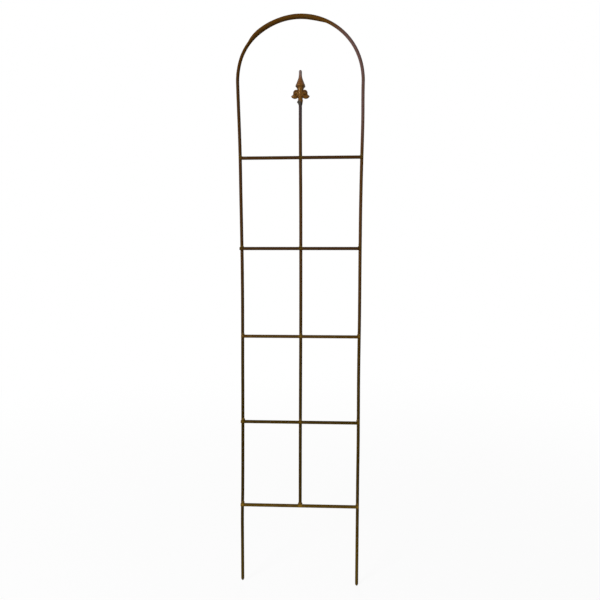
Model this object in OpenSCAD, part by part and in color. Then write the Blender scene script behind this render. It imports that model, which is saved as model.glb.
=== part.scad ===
// Arched garden trellis of round steel bar: a hoop bent from two bars that lap
// over the crown and end in stakes, five rungs, a centre bar and a cast finial.
// Millimetres, +Z up, viewer on the -Y side. The origin is on the soil line,
// midway between the two stakes.

/* [Bars] */
// Diameter of every bar
bar_d = 8; // [6:0.5:10]
// Gap left between crossing bars when they are laid up for welding
fit_up = 0.1; // [0.1:0.05:0.4]

/* [Hoop] */
// Height of the crown above the soil, to the outside of the bar
crown_z = 1400; // [1300:5:1500]
// Bending diameter of the hoop, between bar centres
hoop_w = 340; // [310:2:380]
// How much further out the hoop runs than the waist, on each side
flare = 6; // [2:0.5:15]
// Angle at which the left bar ends, past the crown on the right
left_end_angle = 62; // [45:1:75]
// Angle at which the right bar ends, past the crown on the left
right_end_angle = 146; // [125:1:155]

/* [Stakes] */
// Depth of the right stake's tip below the soil
stake_depth = 200; // [120:5:260]
// How much shorter the left stake is
left_short = 8; // [0:1:20]
// Length of the point on each stake
point_l = 7; // [4:0.5:15]
// Radius left at the very tip
point_r = 1.6; // [0.8:0.1:2.5]

/* [Rungs] */
// Height of the bottom rung above the soil
bottom_rung_z = 40; // [25:1:70]
// Distance between neighbouring rungs
rung_pitch = 245; // [200:1:255]
// How far a proud rung end passes the left upright's centre
left_proud = 6.5; // [4:0.5:12]
// How far a flush rung end passes the left upright's centre
left_flush = 4; // [3:0.5:8]
// How far the rungs pass the right upright's centre
right_flush = 3.5; // [3:0.5:8]

/* [Centre bar] */
// Height of the centre bar's top, where the finial sits
centre_top_z = 1176; // [1120:1:1200]

/* [Finial] */
// Height of the casting
finial_h = 80; // [60:1:110]
// Width across the leaf tips
finial_w = 49; // [40:1:66]

/* [Welds] */
// Radius of the bead at each crossing
bead_r = 4.6; // [3.8:0.1:5.5]
// Radius of one pool in the crown's stitch beads
stitch_r = 2.3; // [2:0.1:2.6]

/* [Hidden] */
$fn = 64;
bar_r = bar_d / 2;
hoop_r = hoop_w / 2;
hoop_z = crown_z - bar_r - hoop_r;
rung_y = -bar_d - fit_up;
rung_z = [for (i = [0:4]) bottom_rung_z + i * rung_pitch];
// the upright bows about a far centre, level with the middle rung
waist_r = hoop_r - flare;
waist_z = rung_z[2];
rise = hoop_z - waist_z;
bow_r = (rise * rise + waist_r * waist_r - hoop_r * hoop_r) / (2 * flare);
bow_x = waist_r + bow_r;
// angles at which the bow meets the hoop and the stake
spring_a = atan(rise / bow_x);
stake_top_z = bottom_rung_z - 14;
stake_a = asin((waist_z - stake_top_z) / bow_r);
// turn of each bar's plane, which sets the two bars side by side at the crown
lap_a = atan(bar_r / waist_r);
// die mark where a bend starts
mark_r = bar_r + 0.2;
mark_l = 1.2;
// hairline between the die mark and the hoop
seam = 0.05;
fx = finial_w / 49;
fz = finial_h / 80;

// the right upright's centre at height z: in its bar's plane, then across and to the back
function bow_at(z) = bow_x - sqrt(bow_r * bow_r - (z - waist_z) * (z - waist_z));
function upright_x(z) = bow_at(z) * cos(lap_a) + bar_r * sin(lap_a);
function upright_y(z) = bow_at(z) * sin(lap_a) - bar_r * cos(lap_a);
function upright_lean(z) = asin((z - waist_z) / bow_r);

// a bent length of bar in the XZ plane, its ends drawn back from the given angles
module bent_bar(r, from, to, back, steps) {
  trim = back / r * 180 / PI;
  rotate([90, 0, 0])
    rotate([0, 0, from + trim])
      rotate_extrude(angle = to - from - 2 * trim, $fn = steps)
        translate([r, 0])
          circle(r = bar_r, $fn = 64);
}

// a die mark across the bar at angle a of a bend
module die_mark(r, a) {
  rotate([0, -a, 0])
    translate([r, 0, 0])
      cylinder(r = mark_r, h = mark_l, center = true);
}

// the straight end that goes into the soil, with its top at the origin
module stake(length) {
  translate([0, 0, point_l - length])
    cylinder(r = bar_r, h = length - point_l - mark_l / 4);
  translate([0, 0, -length])
    cylinder(r1 = point_r, r2 = bar_r, h = point_l);
}

// the hoop length of the bar on the right, from the spring to its free end
module hoop_arc(reach) {
  rotate([0, 0, lap_a])
    translate([0, -bar_r, hoop_z])
      bent_bar(hoop_r, -spring_a, reach, mark_l / 2 + seam, 180);
}

// the upright length of the bar on the right: stake, bow and die marks
module upright(tip_z) {
  rotate([0, 0, lap_a])
    translate([0, -bar_r, 0]) {
      translate([0, 0, hoop_z])
        die_mark(hoop_r, -spring_a);
      translate([bow_x, 0, waist_z]) {
        bent_bar(bow_r, 180 - spring_a, 180 + stake_a, mark_l / 4, 7200);
        die_mark(bow_r, 180 + stake_a);
      }
      translate([bow_at(stake_top_z), 0, stake_top_z])
        stake(stake_top_z - tip_z);
    }
}

module left_hoop_bar() {
  color("saddlebrown")
    rotate([0, 0, 180]) {
      hoop_arc(180 - left_end_angle);
      upright(left_short - stake_depth);
    }
}

module right_hoop_bar() {
  color("sienna") {
    hoop_arc(right_end_angle);
    upright(-stake_depth);
  }
}

// a rung across the front of the uprights, with its own overhang on the left
module rung(i, left_over) {
  color("peru")
    translate([-upright_x(rung_z[i]) - left_over, rung_y, rung_z[i]])
      rotate([0, 90, 0])
        cylinder(r = bar_r, h = 2 * upright_x(rung_z[i]) + left_over + right_flush);
}

module bottom_rung() {
  rung(0, left_proud);
}

module lower_rung() {
  rung(1, left_proud);
}

module middle_rung() {
  rung(2, left_flush);
}

module upper_rung() {
  rung(3, left_proud);
}

module top_rung() {
  rung(4, left_flush);
}

module centre_bar() {
  color("chocolate")
    translate([0, 0, bottom_rung_z - 2])
      cylinder(r = bar_r, h = centre_top_z - bottom_rung_z + 2);
}

// round core of the casting: stem, neck, swelling bulb and long spike
module core() {
  profile = [
    [0, 0], [5.8, 0], [5.6, 8], [7, 20], [8.8, 28], [9.8, 31.5], [12.3, 35.2],
    [12.8, 39.2], [4.5, 61], [3.5, 76], [2.2, 79.2], [0, 80]
  ];
  rotate_extrude($fn = 96) {
    polygon([for (p = profile) [p[0] * fx, p[1] * fz]]);
    translate([9.9 * fx, 37.6 * fz])
      circle(r = 3.3 * min(fx, fz));
  }
}

// a lens outline that runs to a point at both ends, from p to q
module lens(p, q, belly) {
  l = norm(q - p);
  arc_r = (l * l / 4 + belly * belly) / (2 * belly);
  translate((p + q) / 2)
    rotate(atan2(q[1] - p[1], q[0] - p[0]))
      intersection() {
        translate([0, belly - arc_r])
          circle(r = arc_r, $fn = 180);
        translate([0, arc_r - belly])
          circle(r = arc_r, $fn = 180);
      }
}

// a leaf seen from the front: a round upper lobe and a drooping tip
module leaf_outline() {
  fr = min(fx, fz);
  translate([11.6 * fx, 20.2 * fz])
    circle(r = 7.9 * fr);
  lens([2 * fx, 13 * fz], [finial_w / 2, 9.4 * fz], 6.8 * fr);
  translate([19.8 * fx, 11.8 * fz])
    circle(r = 3.6 * fr);
}

// a front outline turned into a plate that is thick in the middle and thin at its edge
module domed(thick) {
  dome_r = 26 * min(fx, fz);
  intersection() {
    rotate([90, 0, 0])
      linear_extrude(height = 4 * thick, center = true)
        children();
    translate([12.5 * fx, thick - dome_r, 15.5 * fz])
      sphere(r = dome_r);
    translate([12.5 * fx, dome_r - thick, 15.5 * fz])
      sphere(r = dome_r);
  }
}

// the right leaf, with a raised rib to its tip and another up its lobe
module leaf() {
  fr = min(fx, fz);
  domed(5.2 * fr)
    leaf_outline();
  domed(6 * fr)
    lens([3 * fx, 14 * fz], [23 * fx, 9.8 * fz], 1.5 * fr);
  domed(6 * fr)
    lens([4 * fx, 16 * fz], [15.5 * fx, 25.5 * fz], 1.4 * fr);
}

module finial() {
  color("darkgoldenrod")
    translate([0, 0, centre_top_z]) {
      core();
      for (turn = [0, 180])
        rotate([0, 0, turn])
          leaf();
    }
}

// lumpy weld that joins the casting to the centre bar
module finial_weld() {
  color("dimgray")
    difference() {
      translate([0, 0, centre_top_z]) {
        translate([0, 0, -14])
          cylinder(r1 = bar_r + 0.5, r2 = bar_r + 2.2, h = 14);
        translate([-bar_r - 0.4, -0.8, -4.6])
          sphere(r = 5);
        translate([bar_r - 1.2, -1.8, -3.6])
          sphere(r = 4.4);
      }
      centre_bar();
      finial();
    }
}

// a bead in the notch above rung i, cut to fit the rung and the bar behind it
module bead(i, x, y, lean) {
  translate([x, y, rung_z[i]])
    difference() {
      translate([0, -bar_r - 1, bar_r + 2.2])
        sphere(r = bead_r);
      rotate([0, lean, 0])
        cylinder(r = bar_r, h = 6 * bar_d, center = true);
      translate([0, rung_y - y, 0])
        rotate([0, 90, 0])
          cylinder(r = bar_r, h = 6 * bar_d, center = true);
    }
}

module left_weld_beads() {
  color("goldenrod")
    for (i = [0:4], z = rung_z[i])
      bead(i, -upright_x(z), -upright_y(z), -upright_lean(z));
}

module centre_weld_beads() {
  color("goldenrod")
    for (i = [0:4])
      bead(i, 0, 0, 0);
}

module right_weld_beads() {
  color("goldenrod")
    for (i = [0:4], z = rung_z[i])
      bead(i, upright_x(z), upright_y(z), upright_lean(z));
}

// stitches of four pools each, in the groove along the top of the lap
module crown_weld_beads() {
  stitch_a = [
    left_end_angle + 8,
    (left_end_angle + right_end_angle) / 2,
    right_end_angle - 8
  ];
  color("goldenrod")
    difference() {
      for (a = stitch_a, k = [-1.5:1:1.5])
        translate([0, 0, hoop_z])
          rotate([0, 0, lap_a])
            rotate([0, -a - k * 1.1, 0])
              translate([hoop_r + stitch_r + 0.2, 0, 0])
                sphere(r = stitch_r);
      hoop_arc(right_end_angle);
      rotate([0, 0, 180])
        hoop_arc(180 - left_end_angle);
    }
}

left_hoop_bar();
right_hoop_bar();
centre_bar();
bottom_rung();
lower_rung();
middle_rung();
upper_rung();
top_rung();
finial();
finial_weld();
left_weld_beads();
centre_weld_beads();
right_weld_beads();
crown_weld_beads();
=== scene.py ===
"""Arched garden trellis: rusty bars, weld beads, a cast finial and a studio around them."""

import math
import random

import bmesh
import bpy
from bpy.props import FloatProperty, FloatVectorProperty, IntProperty, PointerProperty
from mathutils import Euler, Matrix, Vector


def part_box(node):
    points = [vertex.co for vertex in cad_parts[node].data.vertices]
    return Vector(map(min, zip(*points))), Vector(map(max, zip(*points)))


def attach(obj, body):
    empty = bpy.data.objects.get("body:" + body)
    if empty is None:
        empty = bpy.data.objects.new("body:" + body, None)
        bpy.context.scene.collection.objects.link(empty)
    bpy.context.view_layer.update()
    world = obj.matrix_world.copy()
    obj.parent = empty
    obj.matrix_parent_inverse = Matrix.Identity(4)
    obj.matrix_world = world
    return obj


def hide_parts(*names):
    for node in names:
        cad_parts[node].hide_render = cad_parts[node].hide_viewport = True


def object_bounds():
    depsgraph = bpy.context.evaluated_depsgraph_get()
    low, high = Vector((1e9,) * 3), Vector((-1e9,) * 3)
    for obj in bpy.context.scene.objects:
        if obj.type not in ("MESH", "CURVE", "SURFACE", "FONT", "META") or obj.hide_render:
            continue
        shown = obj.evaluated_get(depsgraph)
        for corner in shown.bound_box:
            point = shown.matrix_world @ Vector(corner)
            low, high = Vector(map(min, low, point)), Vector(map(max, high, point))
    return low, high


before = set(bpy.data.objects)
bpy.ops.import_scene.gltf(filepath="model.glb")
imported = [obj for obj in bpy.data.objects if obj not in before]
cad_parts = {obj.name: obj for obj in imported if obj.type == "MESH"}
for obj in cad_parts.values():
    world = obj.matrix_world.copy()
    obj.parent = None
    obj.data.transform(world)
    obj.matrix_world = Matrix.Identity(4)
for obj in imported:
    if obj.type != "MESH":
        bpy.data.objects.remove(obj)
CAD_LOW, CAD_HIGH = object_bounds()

bl_info = {
    "name": "Arched Garden Trellis",
    "version": (1, 0, 0),
    "blender": (4, 5, 0),
    "location": "3D View > Sidebar > Trellis",
    "description": "Dresses the trellis with rust, weld beads and a cast finial",
    "category": "Object",
}

MM = 0.001
X, Z = 0, 2

# Sizes and places from the frame, in metres
FINIAL_LOW, FINIAL_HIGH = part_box("finial")
BAR_RADIUS = (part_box("centre_bar")[1].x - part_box("centre_bar")[0].x) / 2
RUNGS = ("bottom_rung", "lower_rung", "middle_rung", "upper_rung", "top_rung")
RUNG_HEIGHTS = [sum(corner.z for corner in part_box(rung)) / 2 for rung in RUNGS]
RUNG_PITCH = (RUNG_HEIGHTS[-1] - RUNG_HEIGHTS[0]) / (len(RUNGS) - 1)
BEAD_HEIGHT = RUNG_HEIGHTS[0] + 3 * MM

# The bar that carries each group of beads, and how far to the right of it they sit, in millimetres
BEAD_GROUPS = {
    "left_weld_beads": ("left_hoop_bar_bent", 1.5),
    "centre_weld_beads": ("centre_bar_cropped", 0.0),
    "right_weld_beads": ("right_hoop_bar_bent", -1.5),
}

# How much shorter a rung is than its solid, in millimetres at the left and the right end
TRIMS = {
    "bottom_rung": (2.2, 3.4),
    "lower_rung": (2.0, 0.8),
    "middle_rung": (1.6, 1.0),
    "upper_rung": (2.2, 0.8),
    "top_rung": (2.8, 3.4),
}

# Where a bar runs out of true, in millimetres: about which point, how much of it moves, by how much across
# and up, and how far that fades out
OUT_OF_TRUE = {
    "left_hoop_bar": (
        ((-164, 1270), 10, (-2.9, 0.9), 250),
        ((-145, 1319), 10, (-1.5, 1.0), 75),
        ((-164, 690), 10, (1.0, 0), 260),
        ((-164, -110), 90, (-1.1, 0), 100),
    ),
    "right_hoop_bar": (
        ((-141, 1321), 10, (-3.8, 2.2), 110),
        ((170, 1230), 10, (-1.8, 0), 120),
        ((165, 930), 10, (-0.8, 0), 200),
        ((164, 590), 10, (0.8, 0), 180),
        ((164, -100), 100, (-2.4, 0), 280),
    ),
    "centre_bar": (((0, 1176), 20, (-1.5, 0), 300), ((0, 600), 10, (0.7, 0), 420)),
    "top_rung": (((-167, 1020), 6, (0, 1.0), 338), ((167, 1020), 6, (0, 1.7), 338)),
}

# How light a bar's rust is, as a multiple of the colours in the settings
TONES = {
    "left_hoop_bar": 0.78,
    "right_hoop_bar": 1.0,
    "centre_bar": 0.88,
    "bottom_rung": 1.95,
    "lower_rung": 1.02,
    "middle_rung": 1.35,
    "upper_rung": 0.66,
    "top_rung": 0.70,
}

# Where a colour sets in and where it is full, in metres across or up
BROWN_UP = (0.55, 1.05)
RUSSET_UP = (1.20, 1.32)
# Where the painted plum reflection lies on the upper right bar
PAINTED_REFLECTION_ACROSS = (0.09, 0.17)
PAINTED_REFLECTION_UP = (1.02, 1.16)
SCORCHED_UP = (1.04, 1.15)
# Painted shade: where the right half of the bare weld turns dark
PAINTED_SHADE_ACROSS = (0.0, 0.004)
LACQUER_UP = (FINIAL_LOW.z - 0.0044, FINIAL_LOW.z - 0.0004)
COPPER_UP = (FINIAL_LOW.z + 0.036, FINIAL_LOW.z + 0.050)
WORN_UP = (FINIAL_HIGH.z - 0.030, FINIAL_HIGH.z - 0.006)

# Where a colour starts to fade and where it is gone, in metres up or away from a bar or a bead
STAIN_FADES = (-0.12, 0.06)
SCORCHED_FADES = (1.20, 1.25)
SCORCHED_ASIDE = (0.010, 0.020)
BURNT_FADES = (RUNG_HEIGHTS[-1] + 0.05, RUNG_HEIGHTS[-1] + 0.08)
BURNT_FROM_BAR = (0.010, 0.017)
BURNT_FROM_BEAD = (0.011, 0.017)


# The shader toolkit


class Value:
    """A socket. Arithmetic on it adds Math nodes to its finish."""

    def __init__(self, finish, socket):
        self.finish = finish
        self.socket = socket

    def math(self, operation, a, b, clamp=False):
        settings = {"operation": operation, "use_clamp": clamp}
        return self.finish.node("ShaderNodeMath", settings, {0: a, 1: b})

    def __add__(self, other):
        return self.math("ADD", self, other)

    def __sub__(self, other):
        return self.math("SUBTRACT", self, other)

    def __rsub__(self, other):
        return self.math("SUBTRACT", other, self)

    def __mul__(self, other):
        return self.math("MULTIPLY", self, other)

    __radd__ = __add__
    __rmul__ = __mul__

    def size(self):
        return self.math("ABSOLUTE", self, 0.0)

    def lesser(self, other):
        return self.math("MINIMUM", self, other)

    def to_nearest(self, step):
        """How far a value lies from the nearest whole number of steps."""
        steps = self * (1 / step) + 0.5
        return (self.math("FRACT", steps, 0.0) - 0.5).size() * step

    def clamped(self):
        return self.math("ADD", self, 0.0, clamp=True)


class Finish:
    """A node tree that is filled by expressions."""

    def __init__(self, owner):
        owner.use_nodes = True
        self.owner = owner
        self.tree = owner.node_tree
        self.tree.nodes.clear()

    def node(self, kind, settings=None, inputs=None, out=0):
        """Adds a node: its settings first, then the values or links of its sockets."""
        made = self.tree.nodes.new(kind)
        for key, setting in (settings or {}).items():
            setattr(made, key, setting)
        for key, given in (inputs or {}).items():
            if isinstance(given, Value):
                self.tree.links.new(given.socket, made.inputs[key])
            else:
                made.inputs[key].default_value = given
        return Value(self, made.outputs[out]) if made.outputs else None

    def noise(self, at, size, detail, roughness=0.55):
        """Noise whose lumps are about this long, in metres."""
        inputs = {"Vector": at, "Scale": 1 / size, "Detail": detail, "Roughness": roughness}
        return self.node("ShaderNodeTexNoise", None, inputs)

    def span(self, value, low, high):
        """The share of the way that a value has gone from low to high, from 0 to 1."""
        inputs = {"Value": value, "From Min": low, "From Max": high}
        return self.node("ShaderNodeMapRange", {"interpolation_type": "SMOOTHSTEP"}, inputs)

    def layered(self, ground, layers, tone=1.0):
        """A ground colour under layers: where each one lies, how much it covers there, and its colour."""
        share, under, over, result = 0, 6, 7, 2  # A Mix node's sockets for colours
        base = colour(ground, tone)
        for where, cover, top in layers:
            inputs = {share: where * cover, under: base, over: colour(top, tone)}
            base = self.node("ShaderNodeMix", {"data_type": "RGBA"}, inputs, result)
        return base


def new_finish(name):
    return Finish(bpy.data.materials.new(name))


def colour(rgb, tone=1.0):
    return (*(tone * part for part in rgb), 1.0)


def surface(finish, base, roughness, normal, gloss):
    """Closes a finish with one shader. The gloss is the same all over, so it goes on the shader's sockets."""
    inputs = {"Base Color": base, "Roughness": roughness, "Normal": normal, **gloss}
    shader = finish.node("ShaderNodeBsdfPrincipled", None, inputs)
    finish.node("ShaderNodeOutputMaterial", None, {"Surface": shader})
    return finish.owner


def object_place(finish):
    """Where a point lies on the object, and its X and Z alone."""
    at = finish.node("ShaderNodeTexCoord", out="Object")
    across = finish.node("ShaderNodeSeparateXYZ", None, {0: at}, out="X")
    height = finish.node("ShaderNodeSeparateXYZ", None, {0: at}, out="Z")
    return at, across, height


def bump(finish, height, depth):
    return finish.node("ShaderNodeBump", None, {"Strength": 1.0, "Distance": depth, "Height": height})


# The finishes


def rusted_bar(rust, name, tone):
    """Olive rust low down, browner above, a painted plum reflection towards the upper right, gold at the
    welds.
    """
    finish = new_finish(name + "_rust")
    at, across, height = object_place(finish)
    blotch = finish.noise(at, rust.blotch, 4.0)
    streak = finish.noise(at, rust.blotch * 0.3, 5.0, 0.65)
    grain = finish.noise(at, rust.grain, 3.0, 0.7)
    fleck = finish.noise(at, rust.grain * 0.55, 2.0, 0.6)
    # Painted reflection: a light plum band on the upper part of the right bar
    painted_reflection = finish.span(across + blotch * 0.06, *PAINTED_REFLECTION_ACROSS) * finish.span(height, *PAINTED_REFLECTION_UP)
    ragged = streak * 0.012 + grain * 0.006
    layers = (
        (finish.span(height + blotch * 0.4, *BROWN_UP), 1.0, rust.brown),
        (finish.span(height, *RUSSET_UP), 1.0, rust.russet),
        (painted_reflection, 1.0, rust.painted_reflection),
        (1 - finish.span(height + blotch * 0.06, *STAIN_FADES), 0.7, rust.stain),
        (finish.span(streak, 0.45, 0.75), 0.5, rust.dust),
        (finish.span(fleck, 0.52, 0.68), 0.5, rust.dust),
        (finish.span(grain, 0.50, 0.74), 0.55, rust.dark),
        (below_casting(finish, across, height), 0.9, rust.scorched),
        (around_welds(finish, across, height, rust.upright, ragged), 0.85, rust.burnt),
    )
    base = finish.layered(rust.olive, layers, tone)
    pits = bump(finish, fleck * 0.35 + streak * 0.4 - grain * 0.6, rust.pit_depth)
    gloss = {"Specular IOR Level": 0.04, "Specular Tint": (1.0, 0.70, 0.38, 1)}
    return surface(finish, base, 0.66 + grain * 0.25, pits, gloss)


def below_casting(finish, across, height):
    """1 on the top of the centre bar, which the weld has scorched, and 0 elsewhere."""
    aside = 1 - finish.span(across.size(), *SCORCHED_ASIDE)
    return aside * finish.span(height, *SCORCHED_UP) * (1 - finish.span(height, *SCORCHED_FADES))


def around_welds(finish, across, height, upright, ragged):
    """1 around the crossings of the rungs with the other bars, and 0 elsewhere, with a ragged edge."""
    side = across.size()
    to_bar = side.lesser((side - upright).size()) + ragged
    to_bead = (height - BEAD_HEIGHT).to_nearest(RUNG_PITCH) + ragged
    near = (1 - finish.span(to_bar, *BURNT_FROM_BAR)) * (1 - finish.span(to_bead, *BURNT_FROM_BEAD))
    return near * (1 - finish.span(height, *BURNT_FADES))


def weld_scale(name, bright, dark, size, shine, lacquer=None):
    """Scaly weld metal with dark slag in patches. Lacquer from the casting may run over its upper right, and
    its right half then gets painted shade.
    """
    finish = new_finish(name)
    at, across, height = object_place(finish)
    patch = finish.noise(at, size * 4, 3.0)
    grain = finish.noise(at, size, 4.0, 0.65)
    layers = [(finish.span(patch + grain * 0.5, 0.62, 0.95), 1.0, dark)]
    if lacquer is not None:
        ragged = patch * 0.004
        # Painted shade: the right half of the weld is darkened in the soot colour
        layers.append((finish.span(across + ragged, *PAINTED_SHADE_ACROSS), 0.75, dark))
        layers.append((finish.span(across * 0.6 + height + ragged, *LACQUER_UP), 1.0, lacquer))
    base = finish.layered(bright, layers)
    scale = bump(finish, grain, size * 0.2)
    return surface(finish, base, shine + grain * 0.3, scale, {"Specular IOR Level": 0.12})


def golden_casting(look):
    """Golden brown on the leaves, copper up the spike, with painted shade in creases and on edges seen from
    the front.
    """
    finish = new_finish("golden_casting")
    at, _, height = object_place(finish)
    patch = finish.noise(at, look.grain * 8, 3.0)
    grain = finish.noise(at, look.grain, 4.0, 0.6)
    thin = finish.node("ShaderNodeAttribute", {"attribute_name": "thin"}, out="Fac")
    copper = finish.span(height + patch * 0.012, *COPPER_UP)
    layers = (
        (copper, 1.0, look.copper),
        (finish.span(height, *WORN_UP), 0.95, look.tip),
        (finish.span(patch, 0.48, 0.70), 0.35, look.shade),
        (finish.span(grain, 0.50, 0.72), 0.45, look.shade),
        # Painted shade: the dark colour in creases and on edges seen from the front
        (finish.span(thin + grain * 0.2, 0.15, 0.95), 0.85, look.dark),
    )
    base = finish.layered(look.gold, layers)
    roughness = 0.14 + copper * 0.16 + grain * 0.25
    gloss = {"Specular IOR Level": 0.27, "Specular Tint": (1.0, 0.72, 0.38, 1)}
    return surface(finish, base, roughness, bump(finish, grain, look.grain * 0.13), gloss)


# Modelling helpers


def mm(*lengths):
    """A vector of lengths in millimetres."""
    return Vector(lengths) * MM


def deselect():
    bpy.ops.object.select_all(action="DESELECT")


def activate(*pieces):
    deselect()
    for piece in pieces:
        piece.select_set(True)
    bpy.context.view_layer.objects.active = pieces[0]


def settle(piece, name):
    """Names a piece and moves its place into its mesh."""
    activate(piece)
    bpy.ops.object.transform_apply(location=True, rotation=True, scale=True)
    piece.name = piece.data.name = name
    return piece


def ball(centre, size, turn=(0.0, 0.0, 0.0)):
    """A blank ball, drawn out to its half-sizes and turned."""
    deselect()
    bpy.ops.mesh.primitive_uv_sphere_add(segments=32, ring_count=18, radius=1.0, location=centre)
    blank = bpy.context.object
    blank.scale = size
    blank.rotation_euler = turn
    return settle(blank, "blank")


def turned(rings, foot, sides):
    """A turned blank: a disc drawn up from a foot through rings of radius and height, in millimetres."""
    deselect()
    (radius, height), *rest = [(r * MM, foot.z + z * MM) for r, z in rings]
    bpy.ops.mesh.primitive_circle_add(
        vertices=sides, radius=radius, fill_type="NGON", location=(0, 0, height), enter_editmode=True
    )
    for next_radius, next_height in rest:
        extrude(0, 0, next_height - height)
        grow = next_radius / radius
        bpy.ops.transform.resize(value=(grow, grow, 1), center_override=(0, 0, next_height))
        radius, height = next_radius, next_height
    return close_blank("blank")


def close_blank(name):
    """Leaves edit mode with all faces of a new blank turned outwards."""
    bpy.ops.mesh.select_all(action="SELECT")
    bpy.ops.mesh.normals_make_consistent(inside=False)
    bpy.ops.object.mode_set(mode="OBJECT")
    return settle(bpy.context.object, name)


def edit(piece, mode="VERT"):
    """Enters edit mode with nothing selected."""
    activate(piece)
    bpy.ops.object.mode_set(mode="EDIT")
    bpy.ops.mesh.select_mode(type=mode)
    bpy.ops.mesh.select_all(action="DESELECT")


def pick(piece, kind, wanted):
    """Selects, in edit mode, only the vertices or edges that are wanted."""
    bpy.ops.mesh.select_all(action="DESELECT")
    skin = bmesh.from_edit_mesh(piece.data)
    for item in getattr(skin, kind):
        item.select_set(wanted(item))
    skin.select_flush(kind == "verts")
    bmesh.update_edit_mesh(piece.data)


def pull(piece, wanted, move, reach, falloff="SMOOTH"):
    """Moves the wanted vertices, in edit mode, and what lies within reach of them less and less."""
    pick(piece, "verts", wanted)
    bpy.ops.transform.translate(
        value=move, use_proportional_edit=True, proportional_edit_falloff=falloff, proportional_size=reach
    )


def extrude(x, y, z):
    bpy.ops.mesh.extrude_region_move(TRANSFORM_OT_translate={"value": (x, y, z)})


def bar_end(name, rust, place, turn):
    """A ring as thick as a rusty bar, with its vertices selected in edit mode, from which a bar is drawn."""
    deselect()
    bpy.ops.mesh.primitive_circle_add(
        vertices=rust.facets, radius=BAR_RADIUS + rust.scale, fill_type="NOTHING",
        location=place, rotation=turn,
    )
    piece = settle(bpy.context.object, name)
    edit(piece)
    bpy.ops.mesh.select_all(action="SELECT")
    return piece


def crop_end(edge):
    """Closes the open end that is selected, and takes the edge off it."""
    bpy.ops.mesh.edge_face_add()
    bpy.ops.mesh.bevel(offset=edge, segments=2, affect="EDGES")


def finish_bar(piece, node, rust):
    """Bends a drawn bar as far out of true as it really runs, roughens it and rusts it."""
    edit(piece)
    for (x, z), near, (aside, up), fade in OUT_OF_TRUE.get(node, ()):
        middle = mm(x, z)
        pull(piece, lambda v: (v.co.xz - middle).length < near * MM, mm(aside, 0, up), fade * MM)
    bpy.ops.object.mode_set(mode="OBJECT")
    roughen(piece, rust.relief_size, rust.relief)
    dress(piece, node, rusted_bar(rust, node, TONES[node]))


def passing(bar, axis, place):
    """The middle of a finished bar where it passes a place along an axis."""
    near = 5 * MM
    ring = [v.co for v in bpy.data.objects[bar].data.vertices if abs(v.co[axis] - place) < near]
    return sum(ring, Vector()) / len(ring)


def stand_on_centre_bar(piece):
    """Moves a piece that was made around the Z axis over the top of the centre bar."""
    below = 10 * MM
    piece.location.x = passing("centre_bar_cropped", Z, FINIAL_LOW.z - below).x
    settle(piece, piece.name)


def close_bar(piece):
    """Leaves edit mode with a bar whose faces are short enough for relief, point outwards and are smooth."""
    bpy.ops.object.mode_set(mode="OBJECT")
    cut_along(piece, 3 * MM)
    edit(piece)
    bpy.ops.mesh.select_all(action="SELECT")
    bpy.ops.mesh.remove_doubles(threshold=0.01 * MM)
    bpy.ops.mesh.normals_make_consistent(inside=False)
    bpy.ops.object.mode_set(mode="OBJECT")
    bpy.ops.object.shade_smooth_by_angle(angle=math.radians(40))


def cut_along(piece, longest):
    """Divides the long edges, the longest first."""
    edit(piece, "EDGE")
    while True:
        most = max(e.calc_length() for e in bmesh.from_edit_mesh(piece.data).edges)
        if most < longest * 1.5:
            break
        pick(piece, "edges", lambda e: e.calc_length() > most * 0.7)
        bpy.ops.mesh.subdivide(number_cuts=math.ceil(most / longest) - 1)
    bpy.ops.object.mode_set(mode="OBJECT")


def roughen(piece, size, depth):
    """Gives a skin low, uneven relief."""
    texture = bpy.data.textures.new(piece.name + "_relief", "CLOUDS")
    texture.noise_scale = size
    texture.noise_depth = 3
    activate(piece)
    relief = piece.modifiers.new("relief", "DISPLACE")
    relief.texture = texture
    relief.texture_coords = "LOCAL"
    relief.mid_level = 0.5
    relief.strength = depth
    bpy.ops.object.modifier_apply(modifier="relief")


def soften(piece, times):
    """Evens out a skin's creases and edges."""
    smooth = piece.modifiers.new("soften", "SMOOTH")
    smooth.factor = 0.5
    smooth.iterations = times
    bpy.ops.object.modifier_apply(modifier="soften")


def run_together(blanks, name, voxel, smoothing):
    """Joins blanks into one skin, as molten metal runs together, and softens its creases."""
    activate(*blanks)
    bpy.ops.object.join()
    piece = settle(bpy.context.object, name)
    skin = piece.modifiers.new("skin", "REMESH")
    skin.mode = "VOXEL"
    skin.voxel_size = voxel
    bpy.ops.object.modifier_apply(modifier="skin")
    soften(piece, smoothing)
    bpy.ops.object.shade_smooth()
    return piece


def mark_painted_shade(piece, depth):
    """Stores as an attribute how much painted shade a point gets, from 0 to 1: in creases and on edges seen
    from the front.
    """
    activate(piece)
    bpy.ops.object.duplicate()
    blurred = bpy.context.object
    soften(blurred, 40)
    # Painted shade: a face counts as an edge once it turns this far from the front, and sooner where it looks
    # up or down
    facing, level, fade = 0.85, 0.12, 0.5
    shares = []
    for point, soft in zip(piece.data.vertices, blurred.data.vertices):
        crease = (soft.co - point.co).dot(point.normal) / depth
        edge = (facing + level * abs(point.normal.z) - abs(point.normal.y)) / fade
        shares.append(max(0.0, min(1.0, max(crease, edge))))
    bpy.data.objects.remove(blurred)
    piece.data.attributes.new("thin", "FLOAT", "POINT").data.foreach_set("value", shares)


def dress(piece, node, material):
    """Puts a piece in place of its CAD node."""
    piece.data.materials.clear()
    piece.data.materials.append(material)
    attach(piece, "root")
    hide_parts(node)


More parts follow.
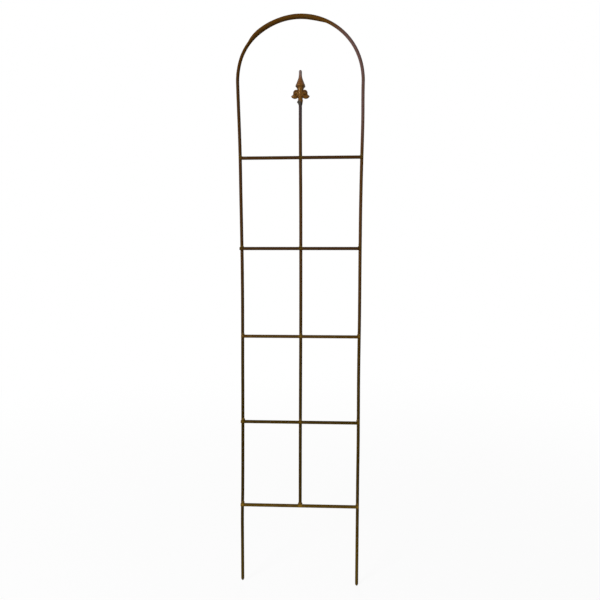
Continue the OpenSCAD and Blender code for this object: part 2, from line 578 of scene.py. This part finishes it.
def lumps_of(node, axis, gap):
    """The separate lumps of a CAD node along an axis: a list of (lowest corner, highest corner)."""
    points = sorted((v.co.copy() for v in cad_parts[node].data.vertices), key=lambda p: p[axis])
    groups = [[points[0]]]
    for before, point in zip(points, points[1:]):
        if point[axis] - before[axis] > gap:
            groups.append([])
        groups[-1].append(point)
    corners = []
    for group in groups:
        low = Vector(min(p[k] for p in group) for k in range(3))
        high = Vector(max(p[k] for p in group) for k in range(3))
        corners.append((low, high))
    return corners


# Settings


def tint(name, description, default):
    return FloatVectorProperty(
        name=name, description=description, subtype="COLOR", size=3, min=0, max=1, default=default
    )


def length(name, description, default):
    return FloatProperty(name=name, description=description, subtype="DISTANCE", min=0, default=default)


def degrees(name, description, default):
    return FloatProperty(name=name, description=description, subtype="ANGLE", default=math.radians(default))


def watts(name, description, default):
    return FloatProperty(name=name, description=description, subtype="POWER", min=0, default=default)


class RustSettings(bpy.types.PropertyGroup):
    """Sizes and looks of the bars."""

    olive: tint("Olive rust", "Rust near the ground", (0.037, 0.0205, 0.0018))
    brown: tint("Brown rust", "Rust from mid height up", (0.066, 0.0275, 0.0085))
    russet: tint("Russet", "Rust on the hoop", (0.084, 0.0325, 0.0030))
    # Colour of the painted reflection on the upper part of the right bar
    painted_reflection: tint("Plum scale", "Mill scale at the upper right", (0.110, 0.061, 0.056))
    scorched: tint("Scorched", "Centre bar below the casting", (0.053, 0.038, 0.038))
    dust: tint("Rust dust", "Loose rust in streaks", (0.085, 0.052, 0.014))
    dark: tint("Dark pits", "Colour in the pits", (0.014, 0.008, 0.003))
    stain: tint("Soil stain", "Lighter olive on the stakes", (0.088, 0.052, 0.0045))
    burnt: tint("Burnt gold", "Heat colour around a weld", (0.105, 0.058, 0.006))
    upright: length("Upright", "From the middle of the panel to a hoop bar", 0.166)
    blotch: length("Blotch", "Length of a patch of colour", 0.055)
    grain: length("Grain", "Length of a rust pit", 0.0012)
    pit_depth: length("Pit depth", "Depth of the pits", 0.0002)
    scale: length("Scale", "Thickness of the rust on the rolled bar", 0.0005)
    relief: length("Relief", "Height of the rolled and rusted relief", 0.0001)
    relief_size: length("Relief size", "Length of a lump in the relief", 0.006)
    facets: IntProperty(name="Facets", description="Faces around a bar", default=32, min=12, max=96)


class HoopSettings(bpy.types.PropertyGroup):
    """Sizes of the hoop's bends and stakes."""

    radius: length("Hoop radius", "From the hoop's centre to the middle of the bar", 0.170)
    flare: length("Flare", "How much further out the hoop runs than the waist", 0.006)
    stake_top: length("Stake top", "From the bottom rung down to the straight stake", 0.014)
    point: length("Point", "Length of the blunt point on a stake", 0.0045)
    scarf: length("Scarf", "Length of bar that is drawn down at the lapped end", 0.058)
    scarf_end: FloatProperty(
        name="Scarf end", description="Share of the bar's thickness that is left at the tip of its scarf",
        subtype="FACTOR", min=0, max=1, default=0.25,
    )
    left_end: degrees("Left bar end", "Angle at which the left bar ends", 62)
    right_end: degrees("Right bar end", "Angle at which the right bar ends", 149)


class WeldSettings(bpy.types.PropertyGroup):
    """Sizes and looks of the welds."""

    gold: tint("Gold scale", "Heat colour on the beads", (0.120, 0.066, 0.008))
    slag: tint("Slag", "Dark patches on the beads", (0.045, 0.026, 0.004))
    grey: tint("Bare weld", "Weld under the casting", (0.047, 0.040, 0.028))
    # Colour of dark patches on the bare weld, and of the painted shade on its right half
    soot_and_shade: tint("Soot", "Dark patches on the bare weld", (0.014, 0.011, 0.006))
    pools: IntProperty(name="Pools", description="Ripples along one bead", default=5, min=2, max=9)
    voxel: length("Skin", "Length of a face in the beads' skin", 0.00045)
    grain: length("Grain", "Length of a grain of scale", 0.0016)


class FinialSettings(bpy.types.PropertyGroup):
    """Sizes and looks of the casting."""

    gold: tint("Gold", "Leaves and stem", (0.111, 0.0425, 0.0034))
    copper: tint("Copper", "Bulb and spike", (0.140, 0.049, 0.0085))
    tip: tint("Worn tip", "Tip of the spike", (0.150, 0.108, 0.104))
    shade: tint("Shade", "Darker metal in patches", (0.060, 0.021, 0.0015))
    # Colour of the painted shade in creases and on edges seen from the front
    dark: tint("Dark", "Bare metal where the gold is thin", (0.022, 0.008, 0.0010))
    leaf_thickness: length("Leaf thickness", "Through the middle of a leaf", 0.0100)
    voxel: length("Skin", "Length of a face in the casting's skin", 0.00050)
    grain: length("Grain", "Length of a grain of the casting", 0.0015)


class StageSettings(bpy.types.PropertyGroup):
    """The studio and the camera."""

    floor_size: length("Floor", "Side of the floor", 30.0)
    floor_colour: tint("Floor colour", "Colour of the floor under the lamps", (0.92, 0.92, 0.92))
    ambient: FloatProperty(name="Ambient", description="Light from all round", default=0.28, min=0)
    key_power: watts("Key", "Light from the upper left", 95)
    fill_power: watts("Fill", "Light from the right", 8)
    back_power: watts("Back", "Light from behind", 45)
    eye: FloatVectorProperty(
        name="Eye", description="Place of the camera", subtype="XYZ", unit="LENGTH",
        default=(0.0426, -1.2461, 0.7156),
    )
    turn: FloatVectorProperty(
        name="Turn", description="Tilt down, roll and turn to the left", subtype="EULER",
        default=(math.radians(3.838), math.radians(0.10), math.radians(2.029)),
    )
    lens: FloatProperty(
        name="Lens", description="Focal length", subtype="DISTANCE_CAMERA", min=1, default=26.76
    )


# Operators


class TRELLIS_OT_bend_hoop(bpy.types.Operator):
    """Bend the two bars of the hoop, each with its stake"""

    bl_idname = "trellis.bend_hoop"
    bl_label = "Bend the hoop bars"

    BOW_STEPS = 10
    HOOP_STEPS = 130
    SCARF_STEPS = 10
    # Share of the bar's thickness that is left at the tip of a stake
    BLUNT = 0.55
    EDGE = 0.5 * MM

    def execute(self, context):
        rust, hoop = context.scene.trellis_rust, context.scene.trellis_hoop
        # How far round a bar reaches, which way it faces, and how far out its scarf leans
        ends = {
            "right_hoop_bar": (hoop.right_end, 0.0, -1 * MM),
            "left_hoop_bar": (math.pi - hoop.left_end, math.pi, 2 * MM),
        }
        lap = math.atan(BAR_RADIUS / (hoop.radius - hoop.flare))
        for name, (reach, turn, lean) in ends.items():
            piece = self.bar(name + "_bent", hoop, rust, reach, lean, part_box(name)[0].z)
            piece.location = Matrix.Rotation(lap + turn, 3, "Z") @ Vector((0, -BAR_RADIUS, 0))
            piece.rotation_euler.z = lap + turn
            settle(piece, name + "_bent")
            finish_bar(piece, name, rust)
        return {"FINISHED"}

    def bar(self, name, hoop, rust, reach, lean, tip):
        """One bar of the right-hand shape in the XZ plane: bow, hoop, then stake."""
        crown = CAD_HIGH.z - BAR_RADIUS - hoop.radius
        waist = hoop.radius - hoop.flare
        middle = RUNG_HEIGHTS[2]
        rise = crown - middle
        bow = (rise * rise + waist * waist - hoop.radius * hoop.radius) / (2 * hoop.flare)
        far = waist + bow
        spring = math.atan(rise / far)
        foot = RUNG_HEIGHTS[0] - hoop.stake_top
        drop = math.asin((middle - foot) / bow)
        drawn = hoop.scarf / hoop.radius
        start = Vector((far - bow * math.cos(drop), 0, foot))
        piece = bar_end(name, rust, start, (0, -drop, 0))
        self.swing(self.BOW_STEPS, -(drop + spring), far, middle)
        self.swing(self.HOOP_STEPS, reach + spring - drawn, 0, crown)
        self.draw_down(hoop, reach, drawn, lean, crown)
        crop_end(self.EDGE)
        pick(piece, "verts", lambda v: v.co.z < foot + 0.3 * MM)
        extrude(0, 0, tip + hoop.point - foot)
        extrude(0, 0, -hoop.point)
        bpy.ops.transform.resize(value=(self.BLUNT, self.BLUNT, 1), center_override=(start.x, 0, tip))
        crop_end(self.EDGE)
        close_bar(piece)
        return piece

    def swing(self, steps, angle, across, height):
        """Draws the end that is selected round a centre in the XZ plane."""
        bpy.ops.mesh.spin(steps=steps, angle=angle, center=(across, 0, height), axis=(0, 1, 0))

    def draw_down(self, hoop, reach, drawn, lean, crown):
        """Draws the end that is selected out into a scarf, which lies against the other bar."""
        full = 1.0
        for k in range(1, self.SCARF_STEPS + 1):
            done = k / self.SCARF_STEPS
            self.swing(1, drawn / self.SCARF_STEPS, 0, crown)
            angle = reach - drawn * (1 - done)
            seat = Vector((math.cos(angle), 0, math.sin(angle))) * (hoop.radius + lean)
            seat += Vector((0, BAR_RADIUS, crown))
            share = 1 - (1 - hoop.scarf_end) * done ** 2
            bpy.ops.transform.resize(value=[share / full] * 3, center_override=seat)
            full = share


class TRELLIS_OT_crop_bars(bpy.types.Operator):
    """Crop the rungs and the centre bar to length"""

    bl_idname = "trellis.crop_bars"
    bl_label = "Crop the straight bars"

    # Subdivide makes at most 100 cuts, so a bar is drawn in lengths that it can divide
    LONGEST = 0.29
    OUT_OF_SQUARE = math.radians(1.5)
    EDGE = 0.6 * MM

    def execute(self, context):
        rust = context.scene.trellis_rust
        draw = random.Random(2)
        for name in RUNGS + ("centre_bar",):
            low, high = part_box(name)
            left, right = TRIMS.get(name, (0, 0))
            low.x += left * MM
            high.x -= right * MM
            finish_bar(self.bar(name + "_cropped", low, high, rust, draw), name, rust)
        return {"FINISHED"}

    def bar(self, name, low, high, rust, draw):
        """A round bar along the box's long side, its cropped ends a little out of square."""
        along = X if high.x - low.x > high.z - low.z else Z
        run = high[along] - low[along]
        start = (low + high) / 2
        start[along] = low[along]
        piece = bar_end(name, rust, start, (0, math.pi / 2 if along == X else 0, 0))
        lengths = math.ceil(run / self.LONGEST)
        for _ in range(lengths):
            extrude(*(run / lengths if k == along else 0 for k in range(3)))
        for end in (start[along] + run, start[along]):
            pick(piece, "verts", lambda v: abs(v.co[along] - end) < 0.1 * MM)
            middle = start.copy()
            middle[along] = end
            lean = draw.uniform(-self.OUT_OF_SQUARE, self.OUT_OF_SQUARE)
            bpy.ops.transform.rotate(value=lean, orient_axis="Y", center_override=middle)
            crop_end(self.EDGE)
        close_bar(piece)
        return piece


class TRELLIS_OT_weld_beads(bpy.types.Operator):
    """Lay a rippled bead in the notch above each crossing"""

    bl_idname = "trellis.weld_beads"
    bl_label = "Lay the weld beads"

    # In millimetres: from a bead's front to the middle of its bar, from there to the outer pools, place (out,
    # up) and half-sizes of the middle pool, places of the drops of spatter, and their radius
    FRONT = 9.6
    SPREAD = 3.6
    SEAT = (-5.1, 5.2)
    POOL = (1.3, 2.8, 4.6)
    SPATTER = ((-2.4, -3.2, 11.2), (1.6, -11.9, 0.6))
    DROP = 0.8
    # The bead at the foot of the centre bar is wider, because the bar ends there
    FOOT_WIDTH = 1.3

    def execute(self, context):
        weld = context.scene.trellis_weld
        material = weld_scale("rust_gold_weld", weld.gold, weld.slag, weld.grain, 0.4)
        draw = random.Random(5)
        pattern = run_together(list(self.pools(weld.pools)), "bead_pattern", weld.voxel, 2)
        for node, (bar, aside) in BEAD_GROUPS.items():
            places = lumps_of(node, Z, 50 * MM)
            if len(places) != len(RUNGS):
                raise RuntimeError(f"{node} has {len(places)} beads, not one for each rung")
            beads = []
            for (low, _), rung, height in zip(places, RUNGS, RUNG_HEIGHTS):
                at_foot = node == "centre_weld_beads" and rung == RUNGS[0]
                width = self.FOOT_WIDTH if at_foot else draw.uniform(0.86, 1.0)
                across = passing(bar, Z, height).x
                seat = passing(rung + "_cropped", X, across).z
                place = (across + aside * MM, low.y + self.FRONT * MM, seat)
                beads.append(self.bead(pattern, place, width, draw))
            activate(*beads)
            bpy.ops.object.join()
            dress(settle(bpy.context.object, node + "_run"), node, material)
        bpy.data.objects.remove(pattern)
        return {"FINISHED"}

    def bead(self, pattern, place, width, draw):
        """A copy of the pattern, as uneven as a hand lays it."""
        activate(pattern)
        bpy.ops.object.duplicate()
        bead = bpy.context.object
        bead.scale = (width, draw.uniform(0.98, 1.06), draw.uniform(1.04, 1.14))
        bead.rotation_euler = (0, draw.uniform(-0.12, 0.12), draw.uniform(-0.1, 0.1))
        bead.location = place
        return settle(bead, "bead")

    def pools(self, count):
        """Overlapping pools across the front of an upright at the origin, above a rung at no height."""
        out, up = self.SEAT
        thick, deep, tall = self.POOL
        bar = BAR_RADIUS / MM
        for k in range(count):
            share = 2 * k / (count - 1) - 1
            across = share * self.SPREAD
            back = bar - math.sqrt(bar * bar - across * across)
            small = 1 - 0.3 * share * share
            centre = mm(across, out + 0.75 * back, up - 0.6 * abs(share))
            yield ball(centre, mm(thick, deep * small, tall * small), (math.radians(-45), 0, share * 0.3))
        for place in self.SPATTER:
            yield ball(mm(*place), mm(self.DROP, self.DROP, self.DROP))


class TRELLIS_OT_crown_stitches(bpy.types.Operator):
    """Lay the stitch welds in the groove on top of the lapped hoop"""

    bl_idname = "trellis.crown_stitches"
    bl_label = "Lay the crown stitches"

    def execute(self, context):
        weld, rust = context.scene.trellis_weld, context.scene.trellis_rust
        node = "crown_weld_beads"
        draw = random.Random(9)
        blanks = []
        for low, high in lumps_of(node, X, 30 * MM):
            middle, half = (low + high) / 2, (high - low) / 2
            slope = math.copysign(math.atan2(half.z, half.x), -middle.x)
            reach = Vector((math.cos(slope), 0, math.sin(slope))) * half.length * 0.72
            for k in range(weld.pools + 1):
                share = 2 * k / weld.pools - 1
                size = 2.1 * draw.uniform(0.88, 1.0)
                blanks.append(ball(middle + reach * share, mm(1.5, size, size), (0, -slope, 0)))
        material = weld_scale("rusted_weld", rust.russet, rust.dark, weld.grain, 0.6)
        dress(run_together(blanks, node + "_run", weld.voxel, 3), node, material)
        return {"FINISHED"}


class TRELLIS_OT_cast_finial(bpy.types.Operator):
    """Cast the finial: a turned core with a bulb and a spike, and a leaf on each side"""

    bl_idname = "trellis.cast_finial"
    bl_label = "Cast the finial"

    # In millimetres from the foot: the core's rings (radius, height), the lobes of a leaf (across, height,
    # half-width, half-height, share of the leaf's thickness), the lines of its ribs (across, height, out)
    # and its creases (a line of across and height, then depth and reach)
    CORE = (
        (6.3, 0.1), (6.6, 2), (6.5, 6), (6.0, 11), (6.8, 20), (8.0, 26), (9.0, 30.0), (10.2, 32.6),
        (12.3, 34.8), (13.4, 36.4), (13.7, 37.8), (13.2, 39.4), (12.1, 41.6), (10.7, 45), (8.9, 49.5),
        (6.9, 54.5), (5.1, 60), (4.5, 65), (4.3, 71), (4.1, 76), (3.7, 77.8), (2.9, 79.1), (1.7, 79.8),
        (0.5, 80.0),
    )
    LOBES = (
        (11.3, 19.9, 8.6, 8.4, 1.0),
        (14.8, 9.9, 9.2, 5.9, 0.9),
        (15.6, 15.0, 4.9, 4.6, 0.7),
        (5.6, 14.6, 6.6, 7.4, 1.1),
    )
    RIBS = (
        ((-0.6, 18.6, 5.6), (4.5, 20.0, 4.4), (10.5, 20.2, 4.4), (16.6, 18.4, 3.0)),
        ((-0.6, 13.4, 5.2), (5.0, 11.6, 4.3), (11.5, 10.0, 3.9), (17.5, 9.7, 3.7), (22.6, 10.4, 1.8)),
    )
    CREASES = (
        (((9, 14.8), (14, 15.0), (20.5, 15.4)), 1.9, 3.0),
        (((17.4, 20.8), (15.0, 23.0), (11.4, 24.0)), 3.0, 3.4),
    )
    LEAF_TIP = (24.0, 10.2)

    def execute(self, context):
        look = context.scene.trellis_finial
        core = turned(self.CORE, FINIAL_LOW, 64)
        leaf = self.leaf(look.leaf_thickness / 2)
        ribs = [self.rib(points, side) for points in self.RIBS for side in (-1, 1)]
        activate(leaf, *ribs)
        bpy.ops.object.join()
        bpy.ops.object.duplicate()
        other = bpy.context.object
        other.rotation_euler.z = math.pi
        settle(other, "other_leaf")
        piece = run_together([core, leaf, other], "cast_finial", look.voxel, 3)
        stand_on_centre_bar(piece)
        roughen(piece, look.grain, 0.2 * MM)
        mark_painted_shade(piece, 0.4 * MM)
        dress(piece, "finial", golden_casting(look))
        return {"FINISHED"}

    def at(self, x, z, y=0.0):
        """A point on the right-hand side of the casting, in millimetres from its foot."""
        return mm(x, y, z) + Vector((0, 0, FINIAL_LOW.z))

    def leaf(self, half):
        """The right-hand leaf: lobes run together, with creases pressed into both faces."""
        blanks = []
        for x, z, wide, tall, thick in self.LOBES:
            blanks.append(ball(self.at(x, z), (wide * MM, half * thick, tall * MM)))
        leaf = run_together(blanks, "leaf", 0.6 * MM, 3)
        edit(leaf)
        tip = self.at(*self.LEAF_TIP)
        pull(leaf, lambda v: (v.co - tip).length < 1 * MM, mm(1.2, 0, 0.6), 4 * MM)
        for corners, depth, reach in self.CREASES:
            self.press(leaf, [self.at(x, z).xz for x, z in corners], depth * MM, reach * MM)
        bpy.ops.object.mode_set(mode="OBJECT")
        return leaf

    def rib(self, points, side):
        """A tapering rib laid along one face of a leaf."""
        start, *rest = [self.at(x, z, side * y) for x, z, y in points]
        deselect()
        bpy.ops.mesh.primitive_circle_add(
            vertices=16, radius=1.8 * MM, fill_type="NGON", location=start, rotation=(0, math.pi / 2, 0),
            enter_editmode=True,
        )
        for point in rest:
            extrude(*(point - start))
            bpy.ops.transform.resize(value=(1, 0.88, 0.88), center_override=point)
            start = point
        return close_blank("rib")

    def press(self, leaf, corners, depth, reach):
        """Presses a crease into both faces of a leaf along a line."""

        def off_line(point):
            gaps = []
            for a, b in zip(corners, corners[1:]):
                share = max(0, min(1, (point - a).dot(b - a) / (b - a).length_squared))
                gaps.append((point - a - (b - a) * share).length)
            return min(gaps)

        for side in (-1, 1):
            pull(
                leaf, lambda v: side * v.co.y > 0 and off_line(v.co.xz) < 0.45 * MM,
                (0, -side * depth, 0), reach, "SHARP",
            )


class TRELLIS_OT_finial_weld(bpy.types.Operator):
    """Build up the lumpy weld between the casting and the centre bar"""

    bl_idname = "trellis.finial_weld"
    bl_label = "Weld the finial"

    # In millimetres from the weld's foot: rings (radius, height), runs of metal (angle in radians, height)
    # and lumps (centre, half-sizes, lean in radians)
    RINGS = ((4.3, 0), (5.2, 2), (5.8, 4.5), (6.2, 8), (6.9, 12.5), (6.9, 15.2), (6.0, 16.4))
    POOLS = 13
    RUNS = ((-2.6, 5.6), (-1.4, 6.4), (-0.3, 5.4), (1.2, 6.0), (2.4, 5.2))
    LUMPS = (((-5.6, -0.8, 8.9), (3.7, 3.4, 3.0), 0.3), ((-4.6, -1.2, 6.0), (2.2, 2.8, 2.8), 0.0))

    def execute(self, context):
        weld = context.scene.trellis_weld
        foot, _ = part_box("finial_weld")
        foot.x = foot.y = 0
        piece = run_together(list(self.blanks(foot)), "finial_weld_run", weld.voxel, 3)
        stand_on_centre_bar(piece)
        lacquer = context.scene.trellis_finial.gold
        material = weld_scale("bare_weld", weld.grey, weld.soot_and_shade, weld.grain, 0.4, lacquer)
        dress(piece, "finial_weld", material)
        return {"FINISHED"}

    def blanks(self, foot):
        """A turned skirt with pools around its top, runs of metal below them and lumps on its left."""
        draw = random.Random(3)
        yield turned(self.RINGS, foot, 40)
        for k in range(self.POOLS):
            angle = 2 * math.pi * k / self.POOLS
            centre = foot + self.around(angle, 5.2, 12.0 + draw.uniform(-0.8, 0.8))
            yield ball(centre, mm(1.9, 1.7, draw.uniform(3.4, 4.6)), (0, 0.2, angle))
        for angle, height in self.RUNS:
            yield ball(foot + self.around(angle, 4.1, height), mm(1.5, 2.2, 3.6), (0, 0, angle))
        for centre, size, lean in self.LUMPS:
            yield ball(foot + mm(*centre), mm(*size), (0, lean, 0))

    def around(self, angle, radius, height):
        return mm(radius * math.cos(angle), radius * math.sin(angle), height)


class TRELLIS_OT_stage(bpy.types.Operator):
    """Set up the floor, the light and the camera"""

    bl_idname = "trellis.stage"
    bl_label = "Set the stage"

    WHITE = (1, 1, 1, 1)
    # How white the floor looks beside the object, and where it goes over into white, in metres from there
    NEAR_WHITE = 0.91
    WHITENS = (0.3, 3.0)
    # What the lamps are aimed at
    MIDDLE = Vector((0, 0, 0.6))

    def execute(self, context):
        stage = context.scene.trellis_stage
        context.scene.view_settings.view_transform = "Standard"
        self.floor(stage)
        self.backdrop(context.scene, stage)
        self.lamp("key_lamp", (-2.1, -2.5, 1.2), 1.0, stage.key_power)
        self.lamp("fill_lamp", (1.9, -2.4, 1.2), 2.0, stage.fill_power)
        self.lamp("back_lamp", (-0.5, 3.2, 1.9), 2.0, stage.back_power)
        self.camera(context.scene, stage)
        return {"FINISHED"}

    def seen(self, finish):
        """1 for what the camera sees, straight or mirrored, and 0 for what lights the object."""
        kinds = ("Is Camera Ray", "Is Glossy Ray", "Is Transmission Ray")
        camera, glossy, through = (finish.node("ShaderNodeLightPath", out=kind) for kind in kinds)
        return (camera + glossy + through).clamped()

    def floor(self, stage):
        """A pale floor that takes the object's shadow and runs out into white."""
        deselect()
        bpy.ops.mesh.primitive_plane_add(size=stage.floor_size, location=(0, 0, CAD_LOW.z))
        floor = bpy.context.object
        floor.name = "floor"
        finish = new_finish("pale_floor")
        lit = finish.node("ShaderNodeBsdfDiffuse", None, {"Color": colour(stage.floor_colour)})
        white = finish.node("ShaderNodeEmission", None, {"Color": self.WHITE, "Strength": 1.0})
        at = finish.node("ShaderNodeTexCoord", out="Object")
        away = finish.node("ShaderNodeVectorMath", {"operation": "LENGTH"}, {0: at}, out="Value")
        share = self.NEAR_WHITE + (1 - self.NEAR_WHITE) * finish.span(away, *self.WHITENS)
        mixed = finish.node("ShaderNodeMixShader", None, {0: self.seen(finish) * share, 1: lit, 2: white})
        finish.node("ShaderNodeOutputMaterial", None, {"Surface": mixed})
        floor.data.materials.append(finish.owner)

    def backdrop(self, scene, stage):
        """A world that looks white and lights the object softly."""
        finish = Finish(bpy.data.worlds.new("white_studio"))
        scene.world = finish.owner
        soft = finish.node("ShaderNodeBackground", None, {"Color": self.WHITE, "Strength": stage.ambient})
        white = finish.node("ShaderNodeBackground", None, {"Color": self.WHITE, "Strength": 1.0})
        mixed = finish.node("ShaderNodeMixShader", None, {0: self.seen(finish), 1: soft, 2: white})
        finish.node("ShaderNodeOutputWorld", None, {"Surface": mixed})

    def lamp(self, name, place, size, power):
        """A square lamp that is aimed at the middle of the panel."""
        deselect()
        bpy.ops.object.light_add(type="AREA", location=place)
        lamp = bpy.context.object
        lamp.name = name
        lamp.data.size = size
        lamp.data.energy = power
        lamp.rotation_euler = (self.MIDDLE - Vector(place)).to_track_quat("-Z", "Y").to_euler()

    def camera(self, scene, stage):
        """The camera of the photograph."""
        tilt, roll, turn = stage.turn
        level = Euler((math.pi / 2 - tilt, 0, turn)).to_matrix() @ Matrix.Rotation(roll, 3, "Z")
        deselect()
        bpy.ops.object.camera_add(location=stage.eye, rotation=level.to_euler())
        camera = bpy.context.object
        camera.name = "photo_camera"
        camera.data.lens = stage.lens
        camera.data.sensor_width = 36.0
        scene.camera = camera


class TRELLIS_PT_panel(bpy.types.Panel):
    """The trellis, piece by piece"""

    bl_idname = "TRELLIS_PT_panel"
    bl_label = "Garden trellis"
    bl_space_type = "VIEW_3D"
    bl_region_type = "UI"
    bl_category = "Trellis"

    def draw(self, context):
        for name, group in SETTINGS.items():
            box = self.layout.box()
            box.label(text=group.__doc__)
            for setting in group.__annotations__:
                box.prop(getattr(context.scene, name), setting)
        for operator in OPERATORS:
            self.layout.operator(operator.bl_idname)


SETTINGS = {
    "trellis_rust": RustSettings,
    "trellis_hoop": HoopSettings,
    "trellis_weld": WeldSettings,
    "trellis_finial": FinialSettings,
    "trellis_stage": StageSettings,
}
OPERATORS = (
    TRELLIS_OT_bend_hoop,
    TRELLIS_OT_crop_bars,
    TRELLIS_OT_weld_beads,
    TRELLIS_OT_crown_stitches,
    TRELLIS_OT_cast_finial,
    TRELLIS_OT_finial_weld,
    TRELLIS_OT_stage,
)


def register():
    for name, group in SETTINGS.items():
        bpy.utils.register_class(group)
        setattr(bpy.types.Scene, name, PointerProperty(type=group))
    for cls in (*OPERATORS, TRELLIS_PT_panel):
        bpy.utils.register_class(cls)


def unregister():
    for cls in (TRELLIS_PT_panel, *reversed(OPERATORS)):
        bpy.utils.unregister_class(cls)
    for name, group in SETTINGS.items():
        delattr(bpy.types.Scene, name)
        bpy.utils.unregister_class(group)


def main():
    register()
    bpy.ops.trellis.bend_hoop()
    bpy.ops.trellis.crop_bars()
    bpy.ops.trellis.weld_beads()
    bpy.ops.trellis.crown_stitches()
    bpy.ops.trellis.cast_finial()
    bpy.ops.trellis.finial_weld()
    bpy.ops.trellis.stage()


if __name__ == "__main__":
    main()
